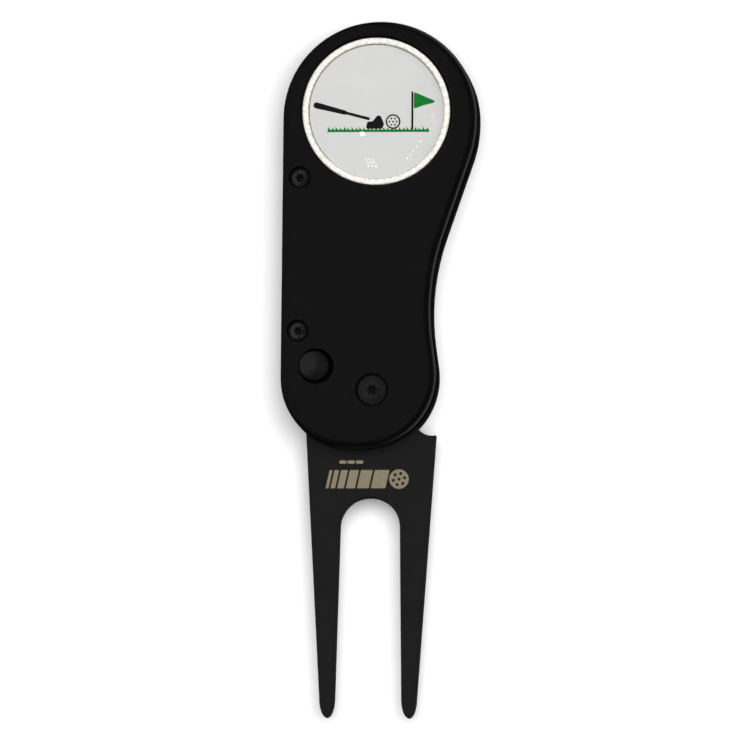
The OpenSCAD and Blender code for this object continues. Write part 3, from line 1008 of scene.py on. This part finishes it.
def make_marker_print():
    """White insert printed with a generic driver, ball, flag and turf, and a dark ring painted
    round its border as the shade at the resin's edge.
    """
    skin = Skin()
    top = high("marker_insert").z
    skin.turned(MARKER, disc(MARKER_R - MARKER_RIM - PLAY, low("marker_insert").z, top, 0.02))
    make_piece(skin, "marker_insert_body", WHITE_PRINT, "marker",
               "marker_insert")

    def at(x, y):
        return MARKER + Vector((x, y))

    ink_low, ink_high = top - 0.01, top + 0.012
    dark = Skin()
    ball = at(2.85, -1.75)
    dimple_r = 0.16
    dimples = [circle(polar(ball, 0.62, math.radians(60 * i)), dimple_r, 14) for i in range(6)]
    wafer(dark, circle(ball, 1.25, 64), ink_low, ink_high, [circle(ball, 1.0, 64)])
    for dimple in [circle(ball, dimple_r, 14), *dimples]:
        wafer(dark, dimple, ink_low, ink_high)
    grip = capsule(at(-10.1, 1.05), at(-5.3, -0.2), 0.52, 0.36)
    shaft = capsule(at(-5.5, -0.15), at(-1.3, -1.25), 0.24)
    wafer(dark, grip, ink_low, ink_high)
    wafer(dark, shaft, ink_low, ink_high)
    club = [at(-1.75, -2.95), at(0.95, -2.95), at(1.35, -2.2), at(0.75, -0.75), at(0.2, -0.7),
            at(-0.6, -1.7), at(-1.5, -1.75)]
    wafer(dark, soften(club, 0.35), ink_low, ink_high)
    pole = capsule(at(6.1, -2.9), at(6.1, 3.2), 0.17)
    wafer(dark, pole, ink_low, ink_high)
    make_piece(dark, "marker_ink_dark", DARK_INK, "marker")

    # A thin dark ring painted round the insert's border, as the shade that falls at the resin's
    # edge.
    shade_ring = Skin()
    wafer(shade_ring, circle(MARKER, 11.4, 144), ink_low, ink_high, [circle(MARKER, 11.22, 144)])
    make_piece(shade_ring, "marker_edge_shade", EDGE_SHADE, "marker")

    green = Skin()
    pennant = [at(6.35, 3.3), at(6.35, 0.4), at(8.0, 1.0), at(10.3, 1.6), at(8.2, 2.5)]
    wafer(green, soften(pennant, 0.3), ink_low, ink_high)
    blades, turf_end, turf_length = 26, 9.0, 17.3
    turf = [at(-8.3, -3.5), at(turf_end, -3.5)]
    for i in range(blades):
        x = turf_end - turf_length * i / blades
        turf += [at(x - 0.1, -3.12), at(x - 0.42 - 0.12 * (i % 3), -2.72 + 0.14 * (i % 2)),
                 at(x - 0.52, -3.12)]
    wafer(green, turf, ink_low, ink_high)
    make_piece(green, "marker_ink_green", GREEN_INK, "marker")


def make_dome():
    """Shallow poured lens over the insert, with a soft shoulder inside the rim."""
    skin = Skin()
    base = high("marker_insert").z
    top = high("marker_dome").z
    radius = MARKER_R - MARKER_RIM - PLAY - 0.02
    shoulder = base + 0.42
    cap = cap_profile(radius, top - base - 0.6, base + 0.6, 24)[:-2]
    edge = [(radius - 0.55, base + 0.62), (radius - 0.3, base + 0.57),
            (radius - 0.12, base + 0.5), (radius - 0.02, shoulder), (radius, shoulder - 0.12)]
    skin.turned(MARKER, cap + edge + [(radius, base - 0.1), (radius * 0.5, base - 0.1)], 144)
    make_piece(skin, "marker_dome_body", CLEAR_RESIN, "marker", "marker_dome",
               sharp=60)


make_front_shell()
make_back_shell()
make_spacer()
make_fork()
make_etching()
make_screws()
make_pivot_parts()
make_springs()
make_button()
make_magnet()
make_marker_cup()
make_marker_print()
make_dome()


# ---- Studio ----

def make_floor():
    """Pale floor just under the tool, in metres."""
    half, z = 2.0, -0.00003
    corners = [(-half, -half, z), (half, -half, z), (half, half, z), (-half, half, z)]
    mesh = bpy.data.meshes.new("floor")
    mesh.from_pydata(corners, [], [(0, 1, 2, 3)])
    floor = bpy.data.objects.new("floor", mesh)
    bpy.context.scene.collection.objects.link(floor)
    mesh.materials.append(finish_of("pale_floor", grey(0.9), grey(0.92), (0.8, 0.9),
                                    (0.02, 0.01), grain=300.0, mottle=2.0,
                                    Specular_IOR_Level=0.1))
    floor.visible_glossy = False


def make_light(name, place, size, power):
    """A soft square light on the table; what the tool reflects is set apart, in the world."""
    data = bpy.data.lights.new(name, "AREA")
    data.shape = "SQUARE"
    data.size = size
    data.energy = power
    light = bpy.data.objects.new(name, data)
    bpy.context.scene.collection.objects.link(light)
    light.visible_glossy = False
    light.visible_transmission = False
    light.location = place
    light.rotation_euler = Vector(place).to_track_quat("Z", "Y").to_euler()


def make_surroundings():
    """What the tool reflects: a dim panel up to the left, and a bright table on the right."""
    world = bpy.data.worlds.new("studio")
    world.use_nodes = True
    nodes, links = world.node_tree.nodes, world.node_tree.links
    way = nodes.new("ShaderNodeTexCoord")

    def facing(direction, start, end, value):
        """Rises from nothing to a value as the view turns towards a direction."""
        dot = nodes.new("ShaderNodeVectorMath")
        dot.operation = "DOT_PRODUCT"
        dot.inputs[1].default_value = Vector(direction).normalized()
        links.new(way.outputs["Generated"], dot.inputs[0])
        rise = nodes.new("ShaderNodeMapRange")
        rise.interpolation_type = "SMOOTHSTEP"
        for label, number in (("From Min", start), ("From Max", end), ("To Max", value)):
            rise.inputs[label].default_value = number
        links.new(dot.outputs["Value"], rise.inputs["Value"])
        return rise.outputs["Result"]

    def glint(x, y, radius, value):
        """A small round lamp nearly overhead, placed by how far it leans in x and y."""
        gap = nodes.new("ShaderNodeVectorMath")
        gap.operation = "DISTANCE"
        gap.inputs[1].default_value = (x, y, math.sqrt(1 - x * x - y * y))
        links.new(way.outputs["Generated"], gap.inputs[0])
        fall = nodes.new("ShaderNodeMapRange")
        for label, number in (("From Min", radius), ("From Max", radius * 0.6),
                              ("To Max", value)):
            fall.inputs[label].default_value = number
        links.new(gap.outputs["Value"], fall.inputs["Value"])
        return fall.outputs["Result"]

    def combine(operation, first, second):
        step = nodes.new("ShaderNodeMath")
        step.operation = operation
        links.new(first, step.inputs[0])
        links.new(second, step.inputs[1])
        return step.outputs[0]

    panel = facing((-0.75, 0.3, 0.6), 0.42, 0.62, 0.2)
    table = combine("MULTIPLY", facing((1, 0, 0), 0.1, 0.4, 1.15),
                    facing((0, 0, -1), -0.02, 0.1, 1))
    table = combine("MULTIPLY", table, facing((0, 0, 1), -0.75, -0.5, 1))
    light = combine("ADD", panel, table)
    singles = [(-0.12, 0.021, 0.011, 14), (0.136, 0.089, 0.004, 9)]
    cluster = [(-0.108 + 0.014 * i + 0.005 * j, -0.074 - 0.012 * j, 0.0042, 9)
               for i in range(3) for j in range(3)]
    row = [(0.027 + 0.0132 * i, -0.086 + 0.0149 * i, 0.0038, 8) for i in range(7)]
    for x, y, radius, strength in singles + cluster + row:
        light = combine("ADD", light, glint(x, y, radius, strength))
    path = nodes.new("ShaderNodeLightPath")
    shown = combine("MAXIMUM", light, path.outputs["Is Camera Ray"])
    links.new(shown, nodes["Background"].inputs["Strength"])
    nodes["Background"].inputs["Color"].default_value = (*grey(0.95), 1)
    bpy.context.scene.world = world


def make_studio():
    make_floor()
    make_light("top_light", (0.15, 0.1, 1.6), 1.4, 36.0)
    make_light("side_light", (0.9, 0.2, 0.7), 0.6, 4.0)
    make_surroundings()
    bpy.context.scene.view_settings.view_transform = "Standard"


def make_camera():
    """Looks down at the tool, a little from its open side and from the prongs."""
    tilt = math.radians(6.4)
    roll = math.radians(0.22)
    distance = 2.4
    frame_width = 0.1266
    share_x, share_y = 0.64, 0.77
    toward = Vector((math.sin(tilt) * share_x, -math.sin(tilt) * share_y, math.cos(tilt)))
    target = Vector((-0.51, -1.18, FACE_Z)) * MM
    data = bpy.data.cameras.new("camera")
    sensor = 36
    data.sensor_width = sensor
    data.lens = sensor * distance / frame_width
    camera = bpy.data.objects.new("camera", data)
    bpy.context.scene.collection.objects.link(camera)
    back = toward.normalized()
    right = Vector((0, 1, 0)).cross(back).normalized()
    up = back.cross(right)
    turn = Matrix((right, up, back)).transposed().to_4x4() @ Matrix.Rotation(roll, 4, "Z")
    camera.matrix_world = Matrix.Translation(target + back * distance) @ turn
    bpy.context.scene.camera = camera


make_studio()
make_camera()
